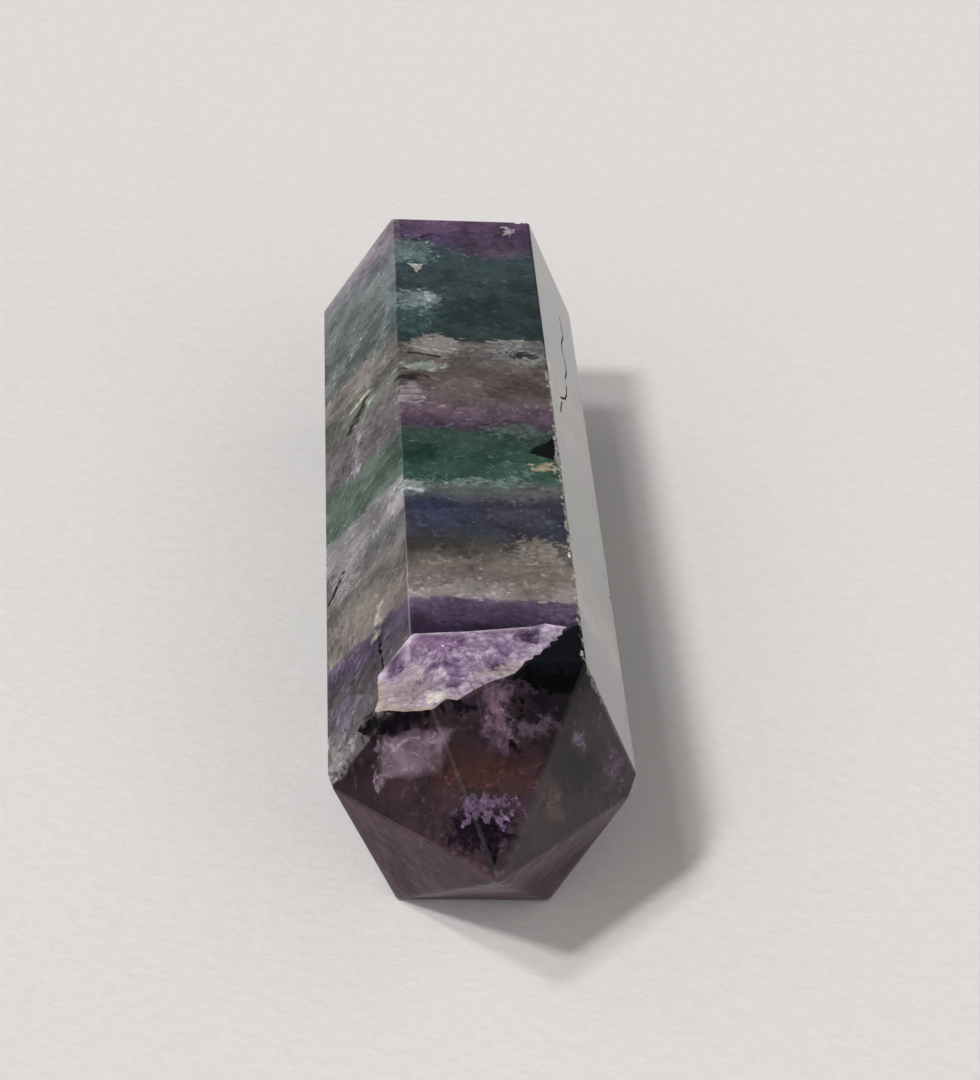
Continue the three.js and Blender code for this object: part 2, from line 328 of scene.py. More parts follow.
# Colour zones from the base to the tip: y in mm on the top face, and the colour that shows there.
ZONES = (
    (40.0, (104, 82, 106)),
    (37.0, (98, 76, 108)),
    (35.4, (84, 70, 98)),
    (34.6, (70, 76, 88)),
    (33.0, (66, 83, 87)),
    (26.0, (63, 78, 81)),
    (18.0, (54, 69, 68)),
    (17.8, (118, 116, 112)),
    (15.0, (116, 109, 105)),
    (13.4, (104, 94, 90)),
    (9.4, (112, 98, 98)),
    (6.5, (120, 100, 116)),
    (4.6, (88, 74, 92)),
    (3.7, (60, 78, 72)),
    (-0.5, (54, 84, 72)),
    (-3.6, (64, 90, 80)),
    (-4.5, (106, 116, 110)),
    (-6.0, (92, 94, 100)),
    (-7.0, (66, 67, 84)),
    (-11.0, (60, 64, 74)),
    (-13.0, (80, 77, 75)),
    (-15.4, (122, 113, 106)),
    (-17.0, (150, 139, 134)),
    (-20.1, (158, 146, 146)),
    (-20.4, (108, 90, 116)),
    (-24.0, (60, 44, 70)),
    (-25.5, (54, 40, 54)),
    (-30.0, (56, 44, 53)),
    (-33.5, (52, 39, 44)),
    (-40.0, (62, 48, 54)),
)

# The same zones as they show on the left face, painted lighter: painted sheen that stands in for the paper
# the face reflects.
LEFT_ZONES_WITH_SHEEN = (
    (40.0, (136, 122, 132)),
    (37.0, (128, 116, 124)),
    (35.0, (120, 118, 124)),
    (33.0, (120, 127, 127)),
    (21.0, (114, 121, 119)),
    (19.9, (112, 118, 115)),
    (19.4, (142, 136, 130)),
    (16.4, (138, 131, 126)),
    (15.2, (108, 108, 100)),
    (12.6, (118, 119, 112)),
    (9.0, (126, 119, 122)),
    (5.0, (118, 110, 116)),
    (3.4, (100, 112, 105)),
    (-1.5, (94, 111, 101)),
    (-2.6, (104, 116, 109)),
    (-3.6, (166, 162, 165)),
    (-7.0, (164, 160, 163)),
    (-8.2, (122, 121, 124)),
    (-14.0, (124, 119, 114)),
    (-16.0, (136, 128, 122)),
    (-19.9, (138, 130, 125)),
    (-20.3, (100, 88, 110)),
    (-22.6, (92, 80, 100)),
    (-24.0, (98, 90, 96)),
    (-30.0, (106, 100, 104)),
)


def zone_colours(paint):
    """The zones, with wavy borders; on the left face, lighter zones that hold painted sheen."""
    along = paint.vector("ADD", paint.scaled(paint.bent, 0.4), paint.scaled(paint.torn, 0.6))
    _, y, z = paint.split(along)
    y = paint.math("MULTIPLY_ADD", paint.math("SUBTRACT", z, TOP_Z), ZONE_TILT, y)
    length = BASE_Y - TIP_Y
    position = paint.math("DIVIDE", paint.math("SUBTRACT", BASE_Y, y), length)
    ramps = []
    for zones in (ZONES, LEFT_ZONES_WITH_SHEEN):
        stops = [((BASE_Y - at) / length, linear(*colour, gain=paint.gain)) for at, colour in zones]
        ramps.append(paint.ramp(position, stops))
    # On the left face the lighter zones are painted sheen.
    paint.colour = paint.blend(paint.on_left, *ramps)


def right_painted_sheen(paint):
    """A pale grey painted over the zones of the right prism faces: painted sheen that washes out their
    bands.
    """
    x, y, _ = paint.split(paint.place)
    beside = paint.fade(x, 6.0, 6.5)
    on_prism = paint.fade(y, -28.6, -28.0, 0.0, 0.35)
    # painted sheen: pale grey over the right faces' zones
    paint.lay((112, 112, 104), paint.math("MULTIPLY", beside, on_prism))


def lower_tip(paint):
    """The tip's lower facets, mauve-brown."""
    paint.lay((72, 52, 58), paint.below)


def steps(paint):
    """Fine growth steps and relief on the left face and the lower facets, which turn their sheen."""
    mask = paint.math("MAXIMUM", paint.on_left, paint.below)
    y = paint.split(paint.place)[1]
    relief = paint.noise(paint.place, 1.4, detail=1.0, roughness=0.6).outputs[0]
    height = paint.math("MULTIPLY_ADD", y, STEP_TILT, paint.math("MULTIPLY", relief, STEP_RELIEF))
    return paint.bump(height, MM, mask)


def far_marks(paint):
    """The purple end and the teal zone with its two pale patches."""
    paint.patch((102, 82, 106), (3.0, 34.6, TOP_Z), (3.2, 2.0, 3.0), 0.4, 0.5)
    paint.streak((58, 46, 64), (-4.7, 34.8, TOP_Z), (-1.6, 37.3, 16.7), 0.5, 0.2)
    paint.patch((118, 138, 140), (-3.2, 34.2, TOP_Z), (1.8, 2.4, 2.0), 0.3, 0.25, 0.85)
    paint.facet((214, 206, 204), [(-3.6, 31.8, TOP_Z), (-2.95, 29.8, TOP_Z), (-2.5, 31.5, TOP_Z)], UP)
    paint.patch((74, 100, 102), (-3.4, 22.6, TOP_Z), (2.0, 5.0, 3.0), 0.4, 0.6, 0.8)
    paint.patch((128, 144, 144), (-3.2, 25.3, TOP_Z), (1.9, 1.8, 2.0), 0.35, 0.25, 0.9)
    paint.facet((178, 186, 184), [(-2.8, 26.9, TOP_Z), (-2.25, 24.6, TOP_Z), (-1.6, 26.1, TOP_Z)], UP)
    paint.patch((200, 190, 198), (4.3, 38.2, TOP_Z), (0.45, 0.8, 1.0), 0.5, 0.2)
    paint.patch((40, 52, 52), (2.4, 23.0, TOP_Z), (4.2, 4.4, 3.0), 0.3, 0.8, 0.7)


def veil_marks(paint):
    """The first healed crack, where it meets the top face in lobes and ledges, with a painted shadow under
    its lobe and a painted sheen along its right part.
    """
    paint.patch((120, 118, 116), (4.3, 16.6, TOP_Z), (4.4, 2.1, 1.6), 0.1, 0.08)
    # painted sheen: a pale band along the crack's right part
    paint.streak((142, 140, 138), (1.6, 18.3, TOP_Z), (5.2, 18.6, TOP_Z), 0.3, 0.3, 0.3)
    paint.patch((140, 136, 132), (-2.0, 17.2, TOP_Z), (2.1, 1.9, 1.2), 0.1, 0.1)
    paint.streak((196, 190, 180), (-3.4, 16.9, TOP_Z), (-0.5, 16.2, TOP_Z), 0.3, 0.2, 0.4)
    # painted shadow: a dark band under the lobe
    paint.streak((52, 54, 53), (-4.0, 16.1, TOP_Z), (-1.9, 15.6, TOP_Z), 0.5, 0.3, 0.4)
    paint.patch((156, 168, 160), (-3.0, 13.9, TOP_Z), (1.9, 0.75, 1.0), 0.5, 0.3)
    paint.patch((54, 52, 50), (-3.8, 12.2, TOP_Z), (1.3, 0.5, 1.0), 0.3, 0.4)
    paint.patch((140, 144, 142), (4.0, 16.1, TOP_Z), (1.9, 1.3, 1.0), 0.6, 0.3)
    paint.patch((46, 50, 52), (4.1, 16.1, TOP_Z), (1.1, 0.5, 1.0), 0.3, 0.2)
    paint.patch((168, 156, 164), (-3.95, 9.2, TOP_Z), (1.15, 2.0, 1.2), 0.12, 0.2)
    for y in (10.1, 9.2, 8.3):
        paint.streak((112, 98, 110), (-4.5, y, TOP_Z), (-3.2, y + 0.1, TOP_Z), 0.25, 0.2, 0.4)


def middle_marks(paint):
    """The green zone, the dark notch with the second healed crack below it, and the blue zone."""
    paint.patch((102, 120, 112), (3.0, 4.1, TOP_Z), (2.6, 1.3, 2.0), 0.45, 0.6, 0.7)
    paint.patch((36, 68, 62), (-3.7, 0.0, TOP_Z), (1.9, 2.0, 2.0), 0.3, 0.6, 0.9)
    paint.patch((172, 160, 138), (5.0, -1.3, TOP_Z), (1.0, 0.85, 1.2), 0.35, 0.4)
    notch = [(3.75, 0.75, 16.9), (5.75, -0.45, 16.9), (5.85, 3.4, 16.9)]
    paint.facet((10, 18, 14), notch, UP)
    paint.patch((148, 154, 154), (-4.1, -4.9, TOP_Z), (1.2, 1.0, 1.2), 0.35, 0.3)
    paint.patch((118, 136, 130), (0.6, -3.9, TOP_Z), (3.6, 0.7, 1.2), 0.6, 0.4, 0.8)
    paint.patch((110, 106, 112), (4.2, -5.3, TOP_Z), (1.9, 1.0, 1.2), 0.35, 0.5, 0.9)
    paint.patch((60, 68, 98), (-2.6, -8.2, TOP_Z), (2.6, 2.8, 2.0), 0.4, 0.8, 0.8)


def near_marks(paint):
    """The cream cloud, the deep purple zone and the dark glass beside the chip."""
    paint.patch((138, 130, 122), (3.7, -13.7, TOP_Z), (2.0, 2.3, 2.0), 0.6, 0.5)
    paint.patch((152, 144, 142), (-0.6, -18.5, TOP_Z), (1.7, 1.4, 1.2), 0.5, 0.5)
    paint.patch((148, 136, 126), (3.3, -17.6, TOP_Z), (2.3, 1.9, 1.2), 0.6, 0.5)
    paint.patch((98, 80, 110), (-2.6, -21.4, 16.9), (2.2, 1.1, 1.2), 0.5, 0.6, 0.7)
    paint.patch((46, 34, 56), (-1.0, -24.0, 16.9), (4.6, 0.8, 1.2), 0.3, 0.6)
    paint.patch((118, 100, 132), (4.8, -22.2, 16.9), (1.2, 1.0, 1.2), 0.6, 0.5, 0.7)
    corner = [(0.6, -29.2, 17.0), (6.4, -29.2, 17.0), (6.4, -22.2, 17.0)]
    paint.facet((10, 12, 18), corner, UP)


def tip_marks(paint):
    """The tip's dark glass, its block and column of growth, and the brown stain."""
    paint.streak((16, 11, 19), (-7.4, -28.8, 12.4), (-4.2, -30.8, 14.3), 1.9, 0.35)
    paint.streak((18, 12, 20), (-4.2, -30.8, 14.3), (-1.4, -30.8, 15.4), 1.3, 0.45)
    paint.patch((26, 22, 28), (4.0, -30.6, 15.3), (2.9, 1.7, 2.0), 0.45, 0.5)
    paint.patch((2, 2, 3), (3.9, -29.3, 16.4), (2.6, 0.95, 1.4), 0.3, 0.3)
    block = [(-6.9, -29.5, 12.3), (-6.7, -31.4, 10.0), (-2.8, -34.0, 12.2), (-1.5, -31.7, 14.5)]
    paint.facet((122, 103, 117), block, TIP_LEFT, 1.8, 0.6, 0.9)
    paint.streak((112, 98, 108), (-6.5, -30.1, 11.7), (-6.7, -31.2, 9.8), 0.7, 0.5)
    paint.streak((98, 78, 94), (0.3, -29.9, 15.8), (0.5, -32.8, 13.8), 1.9, 0.5, 0.6)
    paint.streak((8, 5, 9), (1.7, -30.2, 15.7), (1.6, -32.9, 13.7), 0.7, 0.6, 0.4)
    paint.patch((80, 68, 78), (3.1, -31.8, 14.5), (1.5, 0.8, 1.2), 0.6, 0.5)
    paint.patch((112, 108, 124), (5.7, -30.8, 13.1), (0.8, 0.6, 1.0), 0.6, 0.4)
    paint.patch((22, 16, 22), (5.6, -32.2, 12.0), (2.6, 2.2, 2.4), 0.7, 0.5, 0.9)
    paint.patch((92, 74, 92), (8.2, -29.6, 10.4), (1.5, 1.5, 2.2), 0.5, 0.8, 0.8)
    paint.patch((64, 41, 38), (-0.8, -34.2, 12.7), (5.6, 2.0, 1.9), 0.5, 0.7, 0.9)
    paint.patch((88, 68, 64), (4.2, -34.6, 10.5), (1.5, 1.3, 1.6), 0.5, 0.6, 0.8)
    paint.patch((16, 9, 17), (-0.5, -36.8, 10.2), (2.8, 1.8, 2.2), 0.3, 0.4)
    paint.patch((100, 80, 104), (-0.2, -36.1, 11.2), (1.6, 0.9, 1.0), 1.1, 0.3, 0.85)
    triangle = [(-0.9, -37.0, 10.6), (0.3, -39.8, 8.5), (0.7, -37.6, 10.2)]
    paint.facet((12, 7, 12), triangle, TIP_TOP, 2.0, 0.15)


def left_marks(paint):
    """The left face, whose sheen is taken off the colours that show there."""
    paint.sheen = LEFT_SHEEN
    paint.streak((136, 146, 146), (-5.2, 33.0, 16.0), (-5.4, 18.4, 15.4), 0.9, 0.3, 0.7, 0.8)
    paint.streak((216, 208, 202), (-6.6, 16.1, 13.6), (-7.8, 16.5, 11.7), 0.5, 0.3)
    paint.streak((74, 75, 66), (-6.8, 15.0, 13.3), (-7.8, 14.0, 11.7), 1.4, 0.3)
    paint.streak((152, 166, 152), (-6.5, 14.6, 13.8), (-7.0, 12.6, 13.0), 0.7, 0.4)
    paint.streak((166, 156, 166), (-7.5, 11.6, 12.4), (-7.7, 6.2, 12.0), 1.3, 0.5)
    paint.patch((160, 156, 160), (-8.2, -5.8, 11.2), (1.5, 3.6, 2.4), 0.45, 0.4)
    paint.streak((40, 36, 46), (-8.6, -4.9, 10.5), (-8.8, -5.8, 10.2), 0.8, 0.3)
    paint.streak((44, 40, 48), (-8.8, -6.2, 10.3), (-9.4, -7.3, 9.2), 0.6, 0.3)
    paint.streak((192, 186, 176), (-6.5, -16.0, 14.0), (-6.7, -19.7, 13.7), 0.8, 0.25)
    paint.patch((130, 125, 140), (-8.6, -24.2, 10.6), (1.1, 2.4, 1.9), 0.3, 0.4)
    paint.streak((38, 32, 42), (-6.6, -20.2, 13.9), (-6.4, -24.6, 14.3), 0.35, 0.3)
    paint.patch((152, 150, 148), (-9.2, -27.6, 9.4), (0.9, 2.4, 1.6), 0.5, 0.5, 0.8)
    paint.sheen = 0.0


def ridge_highlight(paint):
    """A pale line along the right ridge of the top face: a painted highlight on its worn bevel."""
    # painted highlight along the worn ridge
    paint.streak((188, 181, 170), (5.9, -27.6, 16.95), (5.86, 14.0, TOP_Z), 0.3, 0.3)


def polished_material():
    """The see-through skin, which carries the colours on its outside, and the clear inside."""
    paint = Paint("fluorite_polished", gain=GAIN)
    paint.find_faces()
    zone_colours(paint)
    right_painted_sheen(paint)
    lower_tip(paint)
    far_marks(paint)
    veil_marks(paint)
    middle_marks(paint)
    near_marks(paint)
    tip_marks(paint)
    left_marks(paint)
    ridge_highlight(paint)
    paint.mottle(3.0, 0.62, 1.5)
    paint.threads(2.6, 0.02, 0.9)
    inside = paint.add("ShaderNodeVolumeAbsorption", {"Color": INSIDE_COLOUR, "Density": INSIDE_DENSITY})
    outer = paint.principled(
        {
            "Base Color": paint.colour,
            "Roughness": POLISHED,
            "IOR": IOR,
            "Specular IOR Level": GLOSS,
            "Transmission Weight": CLEARNESS,
            "Normal": steps(paint),
        }
    )
    glass = {"Color": LINING_COLOUR, "Roughness": POLISHED, "IOR": IOR}
    inner = paint.add("ShaderNodeBsdfGlass", glass).outputs[0]
    from_inside = paint.add("ShaderNodeNewGeometry").outputs["Backfacing"]
    skin = paint.add("ShaderNodeMixShader", {0: from_inside, 1: outer, 2: inner})
    paint.end(skin.outputs[0], inside.outputs[0])
    return paint.material


def broken_material(paint, colour, height, strength):
    """Ends a material in a rough opaque surface with a fine grain."""
    bump = paint.bump(height, FINE_BUMP, strength)
    sockets = {"Base Color": colour, "Roughness": BROKEN, "IOR": IOR, "Normal": bump}
    paint.end(paint.principled(sockets))
    return paint.material


def flaw_material(name, dark, pale, gain, size):
    """An opaque flaw, mottled between two colours, which gain lifts under dark skin."""
    paint = Paint(name)
    cloud = paint.noise(paint.place, size, detail=3.0, roughness=0.7).outputs[0]
    colour = paint.ramp(cloud, ((0.36, linear(*dark, gain=gain)), (0.62, linear(*pale, gain=gain))))
    return broken_material(paint, colour, cloud, 0.5)


def away_from_chip(paint):
    """How far a place lies past the chip in mm: to its right, below it or towards the base."""
    x, y, z = paint.split(paint.place)
    right = paint.math("SUBTRACT", x, NICKS_X)
    under = paint.math("SUBTRACT", CHIP_LOW.z, z)
    behind = paint.math("SUBTRACT", y, CHIP_HIGH.y)
    return paint.math("MAXIMUM", paint.math("MAXIMUM", right, under), behind)


def fracture_material():
    """The chip's broken floor, darker and more purple the deeper its pits go, cream along its rim, and with
    a painted glint.
    """
    paint = Paint("fluorite_fracture")
    pit = paint.add("ShaderNodeAttribute", attribute_name="pit").outputs["Fac"]
    rim = paint.add("ShaderNodeAttribute", attribute_name="rim").outputs["Fac"]
    shade = paint.math("MULTIPLY_ADD", paint.grain, 0.14, pit)
    # Darker and more purple the deeper a pit goes.
    paint.colour = paint.ramp(
        shade,
        (
            (0.0, linear(188, 172, 190)),
            (0.2, linear(154, 134, 158)),
            (0.45, linear(124, 100, 130)),
            (0.75, linear(88, 64, 96)),
            (1.0, linear(62, 42, 70)),
        ),
    )
    paint.patch((134, 104, 140), (-1.8, -25.0, 16.6), (6.5, 0.9, 1.5), 0.5, 0.5, 0.7)
    paint.patch((116, 88, 124), (-1.4, -26.9, 16.2), (1.9, 1.0, 1.5), 0.8, 0.4, 0.6)
    paint.patch((172, 158, 160), (-5.4, -28.2, 15.0), (2.3, 3.4, 2.4), 0.4, 0.5, 0.75)
    paint.patch((186, 170, 160), (1.6, -27.6, 16.4), (2.6, 1.2, 1.5), 0.6, 0.5, 0.7)
    # painted glint: a small pink-white spot on the chip's floor
    paint.patch((236, 220, 236), (-2.7, -25.4, 16.4), (0.35, 0.3, 0.6), 0.3, 0.4)
    edge = paint.math("MULTIPLY_ADD", paint.grain, 0.2, rim, clamp=True)
    to_base = paint.fade(paint.split(paint.place)[1], -26.0, -24.8)
    rim_colour = paint.blend(to_base, linear(186, 170, 154), linear(206, 192, 210))
    paint.colour = paint.blend(paint.fade(edge, 0.2, 0.8, 0.0, 0.85), paint.colour, rim_colour)
    square = [(-3.9, -30.1, 15.4), (-2.6, -30.4, 15.4), (-2.5, -29.3, 15.6), (-3.8, -29.2, 15.6)]
    paint.facet((206, 196, 190), square, UP)
    paint.lay((140, 134, 136), paint.fade(away_from_chip(paint), 0.0, 0.4))
    paint.mottle(1.2, 0.75, 1.2)
    return broken_material(paint, paint.colour, paint.grain, 0.4)


def is_known(normal, start, planes):
    """Whether a plane is in a list of planes."""
    return any(
        normal.dot(facing) > PARALLEL and abs((start - at).dot(facing)) < FLATNESS * MM
        for facing, at in planes
    )


def polished_planes(work):
    """The planes that no corner of the crystal stands out past, from its larger faces."""
    corners = [vertex.co.copy() for vertex in work.verts]
    planes = []
    for face in sorted(work.faces, key=lambda face: -face.calc_area()):
        if face.calc_area() < LEAST_PLANE_AREA * MM * MM:
            break
        normal, start = face.normal.copy(), face.verts[0].co.copy()
        outermost = all((corner - start).dot(normal) < FLATNESS * MM for corner in corners)
        if outermost and not is_known(normal, start, planes):
            planes.append((normal, start))
    return planes


def lies_on(face, planes):
    """Whether a face is part of a polished plane."""
    return any(
        all(abs((vertex.co - at).dot(normal)) < FLATNESS * MM for vertex in face.verts)
        for normal, at in planes
    )


def show(name, mesh, *materials):
    """Puts a finished mesh in the scene as a piece of the crystal."""
    for material in materials:
        mesh.materials.append(material)
    piece = new_object(name, mesh)
    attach(piece, "root")
    return piece


def pit_depth(place):
    """How deep the chip's floor is pitted at a place in mm: 0 on its high parts, about 1 in its pits."""
    bent = place + 0.3 * noise.noise_vector(place * 1.1)
    hollow = max(0.0, 1.1 * noise.noise(bent * 0.7 + Vector((7, 3, 1))))
    fine = noise.fractal(bent * 2.4, 0.7, 2.2, 5)
    to_cell = noise.voronoi(bent * 1.5)[0][0]
    holed = max(0.0, 0.4 + 1.4 * noise.noise(place * 0.5 + Vector((2, 9, 4))))
    hole = max(0.0, 0.34 - to_cell) * 2.6 * holed
    depth = max(0.0, hollow + 0.42 * fine + 0.08) + hole
    terrace = round(depth * 6) / 6
    return 0.5 * depth + 0.5 * terrace


def split_broken(work):
    """Splits the broken faces into small triangles."""
    edges = [edge for edge in work.edges if all(face.material_index == 1 for face in edge.link_faces)]
    bmesh.ops.subdivide_edges(work, edges=edges, cuts=2, use_grid_fill=True)
    bmesh.ops.triangulate(work, faces=[face for face in work.faces if face.material_index == 1])
    work.normal_update()


def chip_rim_and_floor(work):
    """A search tree of the places where broken faces meet polished ones, and the chip's own vertices."""
    rim_places = []
    floor_verts = []
    for vertex in work.verts:
        kinds = {face.material_index for face in vertex.link_faces}
        place = vertex.co / MM
        in_chip = all(low <= at <= high for low, at, high in zip(CHIP_LOW, place, CHIP_HIGH))
        if kinds == {0, 1}:
            rim_places.append(vertex.co.copy())
        elif kinds == {1} and in_chip:
            floor_verts.append(vertex)
    tree = kdtree.KDTree(len(rim_places))
    for index, place in enumerate(rim_places):
        tree.insert(place, index)
    tree.balance()
    return tree, floor_verts


def pit_chip(work):
    """Sinks the pits of the chip's floor, and notes their depth and how near the rim is."""
    pit_layer = work.verts.layers.float.new("pit")
    rim_layer = work.verts.layers.float.new("rim")
    split_broken(work)
    noise.seed_set(PIT_SEED)
    rim_tree, floor_verts = chip_rim_and_floor(work)
    moves = []
    for vertex in floor_verts:
        distance = rim_tree.find(vertex.co)[2] / MM
        depth = pit_depth(vertex.co / MM) * min(1.0, distance / PIT_SHORE)
        vertex[pit_layer] = min(1.0, depth)
        vertex[rim_layer] = max(0.0, 1.0 - distance / RIM_WIDTH)
        moves.append((vertex, vertex.normal * (depth * PIT_DEPTH * MM)))
    for vertex, move in moves:
        vertex.co -= move
    floor = set(floor_verts)
    for vertex in work.verts:
        if vertex not in floor and any(face.material_index == 1 for face in vertex.link_faces):
            vertex[rim_layer] = 1.0


def is_polished(item):
    """Whether a vertex or an edge is on a polished plane."""
    return any(face.material_index == 0 for face in item.link_faces)


def crystal_piece():
    """The crystal with its polished planes, slot 0, and its broken faces, slot 1. Returns the planes."""
    mesh = bpy.data.meshes.new("fluorite_crystal")
    work = bmesh.new()
    work.from_mesh(CRYSTAL.data)
    bmesh.ops.remove_doubles(work, verts=work.verts, dist=0.0001 * MM)
    planes = polished_planes(work)
    for face in work.faces:
        face.material_index = 0 if lies_on(face, planes) else 1
    bmesh.ops.dissolve_limit(
        work,
        angle_limit=math.radians(0.5),
        verts=[vertex for vertex in work.verts if is_polished(vertex)],
        edges=[edge for edge in work.edges if is_polished(edge)],
        delimit={"MATERIAL"},
    )
    pit_chip(work)
    for face in work.faces:
        face.smooth = face.material_index == 1
    for edge in work.edges:
        kinds = {face.material_index for face in edge.link_faces}
        edge.smooth = kinds == {1} and edge.calc_face_angle(0) < SMOOTH_ANGLE
    work.to_mesh(mesh)
    work.free()
    piece = show("fluorite_crystal", mesh, polished_material(), fracture_material())
    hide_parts("crystal")
    return planes


def rim_reach(turn, squareness, ragged, spin):
    """How far a ragged sheet reaches in a direction, as a share of its half size."""
    right, up = math.cos(turn), math.sin(turn)
    square = (abs(right) ** squareness + abs(up) ** squareness) ** (-1 / squareness)
    rim = Vector((right * 1.5, up * 1.5, spin))
    tear = 1 + ragged * (noise.noise(rim * 1.3) + 0.7 * noise.noise(rim * 4.3))
    return square * tear


class Flaws:
    """One mesh of sheets, crumbs and small crystals inside the crystal, in mm."""

    def __init__(self, planes, seed):
        self.work = bmesh.new()
        self.planes = planes
        self.rng = random.Random(seed)

    def vertex(self, place):
        """A vertex, moved in where it would lie past the skin."""
        point = Vector(place) * MM
        for _ in range(2):
            for normal, at in self.planes:
                out = (point - at).dot(normal) + SKIN * MM
                if out > 0:
                    point -= normal * out
        return self.work.verts.new(point)

    def scatter(self):
        """A random offset, mostly small and at most 1 each way."""
        return [max(-1, min(1, self.rng.gauss(0, 0.5))) for _ in range(3)]

    def sheet(self, centre, across, along, ragged, ripple, squareness=2.0, rings=6, spokes=40):
        """A thin closed sheet with a ragged rim. across and along are its half sizes as vectors."""
        centre, across, along = Vector(centre), Vector(across), Vector(along)
        normal = across.cross(along).normalized()
        shift = Vector([self.rng.uniform(0, 50) for _ in range(3)])
        spin = self.rng.uniform(0, 10)
        sides = []
        for side in (1, -1):
            rows = []
            for ring in range(rings if side < 0 else rings + 1):
                row = []
                for spoke in range(spokes if ring else 1):
                    turn = 2 * math.pi * spoke / spokes
                    right, up = math.cos(turn), math.sin(turn)
                    reach = rim_reach(turn, squareness, ragged, spin) * ring / rings
                    flat = centre + across * (right * reach) + along * (up * reach)
                    wave = noise.noise(flat * 0.8 + shift)
                    lift = ripple * wave + 0.3 * ripple * noise.noise(flat * 3 + shift)
                    wall = SHEET_THICKNESS / 2 * side * (1 - ring / rings)
                    row.append(self.vertex(flat + normal * (lift + wall)))
                rows.append(row)
            sides.append(rows)
        top, bottom = sides
        self.cover(top, False)
        self.cover(bottom + [top[rings]], True)

    def cover(self, rows, flip):
        """Faces between rings of vertices, the first of which is one vertex in the middle."""
        for inner, outer in zip(rows, rows[1:]):
            spokes = len(outer)
            for spoke in range(spokes):
                after = (spoke + 1) % spokes
                corners = [outer[spoke], outer[after]]
                corners += [inner[0]] if len(inner) == 1 else [inner[after], inner[spoke]]
                self.work.faces.new(corners[::-1] if flip else corners)

    def settle(self, place, facing, depth):
        """A place moved to a depth under the face that looks nearest to facing."""
        place, facing = Vector(place), Vector(facing)
        normal, at = max(self.planes, key=lambda plane: plane[0].dot(facing))
        return place - normal * ((place - at / MM).dot(normal) + depth)

    def flake(self, place, normal, half, stretch, turn=None):
        """A small flat flake with a ragged rim, its long side turned at random or along turn."""
        normal = Vector(normal).normalized()
        across = normal.orthogonal().normalized()
        if turn is None:
            across.rotate(Quaternion(normal, self.rng.uniform(0, math.tau)))
        else:
            across = (Vector(turn) - normal * normal.dot(Vector(turn))).normalized()
        along = normal.cross(across)
        wide, long = across * half, along * half * stretch
        self.sheet(place, wide, long, ragged=0.9, ripple=0.12, rings=1, spokes=6)

    def crumbs(self, centre, reach, count, sizes, facing=UP, spread=0.5, depth=(0.25, 0.7)):
        """Flakes of mostly small sizes, scattered under a face round a centre."""
        for _ in range(count):
            place = [at + size * share for at, size, share in zip(centre, reach, self.scatter())]
            place = self.settle(place, facing, self.rng.uniform(*depth))
            tilt = Vector([self.rng.gauss(0, spread) for _ in range(3)])
            half = sizes[0] * (sizes[1] / sizes[0]) ** (self.rng.random() ** 1.8)
            self.flake(place, Vector(facing) + tilt, half, self.rng.uniform(0.25, 0.9))

    def fibres(self, start, end, spread, count, sizes, facing=UP, depth=(0.25, 0.5)):
        """Long thin flakes in line with a stroke from start to end, spread that far to its sides."""
        start, end = Vector(start), Vector(end)
        run = end - start
        beside = Vector(facing).cross(run).normalized()
        for _ in range(count):
            place = start + run * self.rng.random() + beside * self.rng.gauss(0, spread)
            place = self.settle(place, facing, self.rng.uniform(*depth))
            turn = run.normalized() + beside * self.rng.gauss(0, 0.15)
            tilt = Vector([self.rng.gauss(0, 0.2) for _ in range(3)])
            half, stretch = self.rng.uniform(*sizes), self.rng.uniform(0.08, 0.2)
            self.flake(place, Vector(facing) + tilt, half, stretch, turn)

    def cubes(self, centre, reach, count, sizes):
        """Small cubic crystals heaped in an ellipsoid."""
        signs = [(x, y, z) for x in (-1, 1) for y in (-1, 1) for z in (-1, 1)]
        sides = ((0, 1, 3, 2), (4, 6, 7, 5), (0, 4, 5, 1), (2, 3, 7, 6), (0, 2, 6, 4), (1, 5, 7, 3))
        for _ in range(count):
            place = Vector([at + size * share for at, size, share in zip(centre, reach, self.scatter())])
            turn = Quaternion([self.rng.gauss(0, 1) for _ in range(4)]).normalized()
            half = self.rng.uniform(*sizes) / 2
            corners = [self.vertex(place + turn @ (Vector(sign) * half)) for sign in signs]
            for side in sides:
                self.work.faces.new([corners[index] for index in side])

    def finish(self, name, material):
        """Shows the flaws as one piece."""
        mesh = bpy.data.meshes.new(name)
        self.work.to_mesh(mesh)
        self.work.free()
        show(name, mesh, material)


def cross_veils(planes):
    """The two healed cracks right across the crystal."""
    flaws = Flaws(planes, 11)
    top_form = {"squareness": 5.0, "ragged": 0.22, "ripple": 0.7, "rings": 9, "spokes": 72}
    left_form = {"squareness": 4.0, "ragged": 0.3, "ripple": 0.6, "rings": 7, "spokes": 48}
    cracks = (
        ((0.3, 15.6, 12.6), (0, 2.4, 4.2), (-6.4, 17.2, 9.6), (0.5, 1.6, -3.0)),
        ((0.3, -9.6, 12.4), (0, 2.2, 4.2), (-6.4, -7.6, 9.6), (0.5, 1.4, -3.0)),
    )
    for top, top_along, left, left_along in cracks:
        flaws.sheet(top, (5.6, 0.2, 0), top_along, **top_form)
        flaws.sheet(left, (1.9, 0.0, 2.6), left_along, **left_form)
    flaws.finish("veils", flaw_material("fluorite_veil", (120, 114, 112), (168, 162, 158), 1.0, 1.6))


